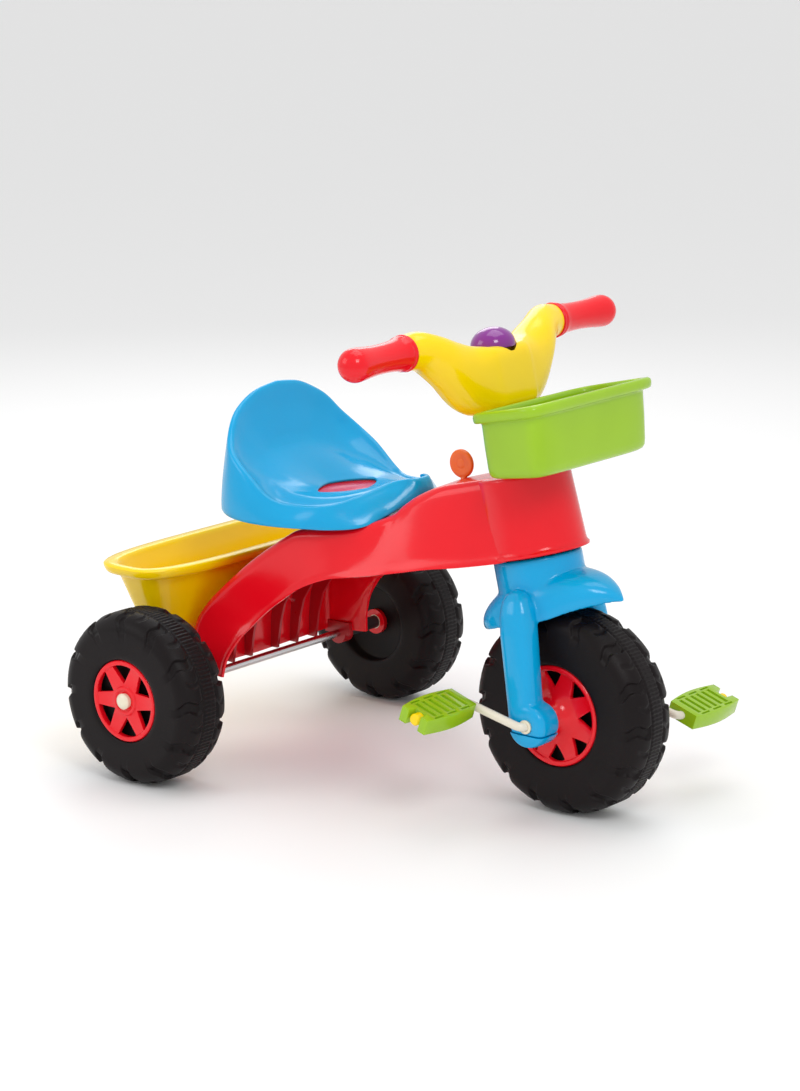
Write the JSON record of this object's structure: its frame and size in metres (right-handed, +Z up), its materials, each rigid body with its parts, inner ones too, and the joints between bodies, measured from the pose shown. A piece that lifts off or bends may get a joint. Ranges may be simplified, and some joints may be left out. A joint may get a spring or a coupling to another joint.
{
  "type": "children's tricycle",
  "caption": "Child's pedal tricycle with a bucket seat, raked steering fork, bull-horn handlebar, front basket, rear tub and chunky moulded wheels.",
  "frame": {"origin": "middle of the bounding box's bottom face, on the floor", "axes": "+X forward along the tricycle, +Y to the rider's left, +Z up"},
  "size_m": [0.7093, 0.546, 0.5638],
  "materials": {
    "red": "gloss",
    "dark_red": "satin",
    "blue": "gloss",
    "yellow": "gloss",
    "green": "gloss",
    "orange": "gloss",
    "purple": "gloss",
    "black_tyre": "satin",
    "steel": "satin",
    "cream_rod": "gloss",
    "ivory": "satin",
    "grey": "satin"
  },
  "bodies": {
    "frame": {"frame_body": "red", "frame_head": "red", "frame_ribs": "dark_red", "head_bush_upper": "ivory", "head_bush_lower": "ivory", "seat": "blue", "seat_platform": "red", "seat_screws": "steel", "rear_tub": "yellow", "rear_tub_screws": "steel", "rear_axle": "steel", "rear_cap_nut_left": "ivory", "rear_cap_nut_right": "ivory", "key_socket": "dark_red", "axle_spacer_left": "grey", "axle_spacer_right": "grey"},
    "key": {"ignition_key": "orange"},
    "steering": {"fork_crown": "blue", "fender": "blue", "fork_leg_left": "blue", "fork_leg_right": "blue", "fork_foot_cap_left": "blue", "fork_foot_cap_right": "blue", "foot_cap_screws": "steel", "crank_bush_left": "ivory", "crank_bush_right": "ivory", "steering_column": "steel", "handlebar": "yellow", "handlebar_bolt": "steel", "grip_left": "red", "grip_right": "red", "front_basket": "green", "basket_screws": "steel", "horn_spring": "steel"},
    "horn": {"horn_button": "purple"},
    "front_wheel": {"front_tyre": "black_tyre", "front_hub_left": "red", "front_hub_right": "red", "front_hub_screws": "steel", "crank_rod": "cream_rod", "pedal_cap_left": "yellow", "pedal_cap_right": "yellow"},
    "pedal_left": {"pedal_left": "green"},
    "pedal_right": {"pedal_right": "green"},
    "rear_wheel_left": {"rear_tyre_left": "black_tyre", "rear_hub_outer_left": "red", "rear_hub_inner_left": "red", "rear_bush_left": "ivory"},
    "rear_wheel_right": {"rear_tyre_right": "black_tyre", "rear_hub_outer_right": "red", "rear_hub_inner_right": "red", "rear_bush_right": "ivory"}
  },
  "joints": [
    {"name": "steer", "type": "hinge", "parent": "frame", "child": "steering", "pos_m": [0.22529, 0, 0.11763], "axis": [-0.2368, 0, 0.9715], "range_deg": [-45, 45]},
    {"name": "key_turn", "type": "hinge", "parent": "frame", "child": "key", "pos_m": [0.0745, 0, 0.366], "axis": [-0.1736, 0, 0.9848], "range_deg": [0, 90]},
    {"name": "horn_press", "type": "slide", "parent": "steering", "child": "horn", "axis": [0.2368, 0, -0.9715], "range_m": [0, 0.004], "stiffness_N_per_m": 400},
    {"name": "front_wheel_spin", "type": "hinge", "parent": "steering", "child": "front_wheel", "pos_m": [0.235, 0, 0.12], "axis": [0, 1, 0], "continuous": true},
    {"name": "pedal_left_spin", "type": "hinge", "parent": "front_wheel", "child": "pedal_left", "pos_m": [0.31521, 0.151, 0.10295], "axis": [0, 1, 0], "continuous": true},
    {"name": "pedal_right_spin", "type": "hinge", "parent": "front_wheel", "child": "pedal_right", "pos_m": [0.15479, -0.151, 0.13705], "axis": [0, 1, 0], "continuous": true},
    {"name": "rear_wheel_left_spin", "type": "hinge", "parent": "frame", "child": "rear_wheel_left", "pos_m": [-0.227, 0.23, 0.105], "axis": [0, 1, 0], "continuous": true},
    {"name": "rear_wheel_right_spin", "type": "hinge", "parent": "frame", "child": "rear_wheel_right", "pos_m": [-0.227, -0.23, 0.105], "axis": [0, 1, 0], "continuous": true}
  ]
}
